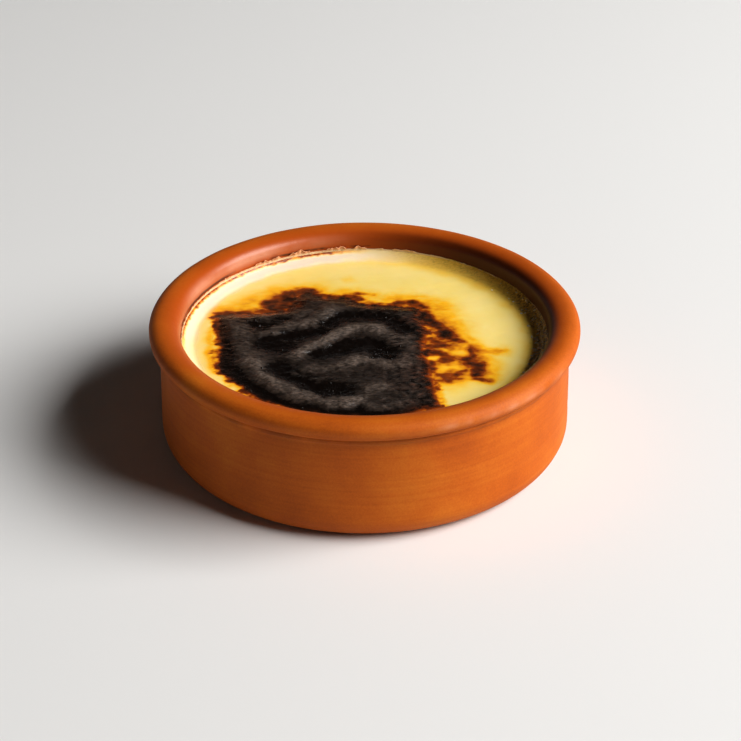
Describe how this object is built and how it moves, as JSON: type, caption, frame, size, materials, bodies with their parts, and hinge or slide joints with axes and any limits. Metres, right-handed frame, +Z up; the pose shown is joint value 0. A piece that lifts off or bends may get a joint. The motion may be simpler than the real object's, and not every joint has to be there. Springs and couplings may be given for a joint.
{
  "type": "rice pudding",
  "caption": "Oven-baked rice pudding with a folded, partly burnt skin, set in a round terracotta dish with a rolled rim.",
  "frame": {"origin": "centre of the dish's flat base, on the surface it stands on", "axes": "+Z up through the middle of the round dish; the burnt patch of skin lies towards -X and -Y"},
  "size_m": [0.12, 0.12, 0.0376],
  "materials": {
    "terracotta": "fired red clay, brushed with a thin clear glaze",
    "pudding_skin": "baked milk skin, cream yellow, browned and burnt in one patch"
  },
  "bodies": {
    "root": {"terracotta_dish": "terracotta", "rice_pudding": "pudding_skin"}
  },
  "joints": []
}
